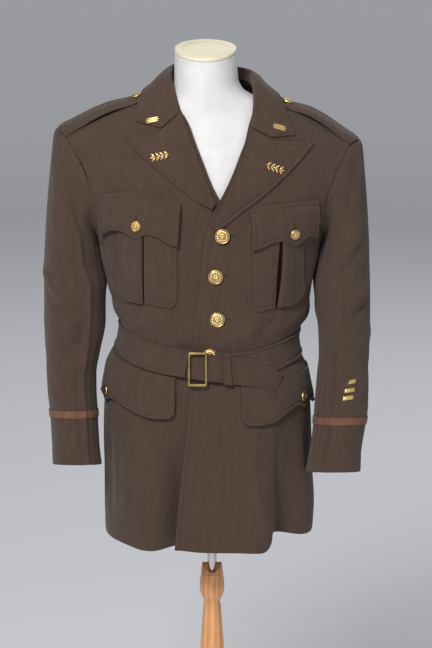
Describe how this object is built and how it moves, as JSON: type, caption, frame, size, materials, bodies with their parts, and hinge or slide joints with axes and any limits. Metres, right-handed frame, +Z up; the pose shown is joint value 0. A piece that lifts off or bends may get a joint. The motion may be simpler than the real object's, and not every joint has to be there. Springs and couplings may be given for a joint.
{
  "type": "belted service coat on a limbless dress form",
  "caption": "Belted brown uniform coat with flapped pockets and shoulder straps, buttoned over a smooth limbless dress form on a turned wooden stand.",
  "frame": {"origin": "floor centre of the stand's base, on the pole's axis", "axes": "+Z up, -Y the way the coat's front faces, +X the wearer's left"},
  "size_m": [0.5518, 0.3382, 1.5198],
  "materials": {
    "cloth": "woven wool twill, matt",
    "braid": "flat woven braid, matt",
    "gold_thread": "metallic thread",
    "gilt": "polished gilt",
    "brass": "polished brass",
    "form": "smooth, matt white",
    "cap": "smooth, cream",
    "chrome": "polished",
    "wood": "clear lacquered"
  },
  "bodies": {
    "root": {"front_left": "cloth", "back_left": "cloth", "lapel_left": "cloth", "strap_left": "cloth", "breast_pocket_left": "cloth", "breast_flap_left": "cloth", "hip_flap_left": "cloth", "sleeve_left_top": "cloth", "sleeve_left_under": "cloth", "braid_left": "braid", "breast_button_left": "gilt", "hip_button_left": "gilt", "strap_button_left": "gilt", "collar_pin_left": "gilt", "lapel_pin_left": "gilt", "front_right": "cloth", "back_right": "cloth", "lapel_right": "cloth", "strap_right": "cloth", "breast_pocket_right": "cloth", "breast_flap_right": "cloth", "hip_flap_right": "cloth", "sleeve_right_top": "cloth", "sleeve_right_under": "cloth", "braid_right": "braid", "breast_button_right": "gilt", "hip_button_right": "gilt", "strap_button_right": "gilt", "collar_pin_right": "gilt", "lapel_pin_right": "gilt", "collar_fall": "cloth", "collar_stand": "cloth", "belt": "cloth", "belt_tongue": "cloth", "belt_keeper": "cloth", "front_button_1": "gilt", "front_button_2": "gilt", "front_button_3": "gilt", "front_button_4": "gilt", "service_bar_1": "gold_thread", "service_bar_2": "gold_thread", "service_bar_3": "gold_thread", "buckle": "brass", "form_body": "form", "neck_cap": "cap", "pole": "chrome", "post": "wood", "base": "wood"}
  },
  "joints": []
}
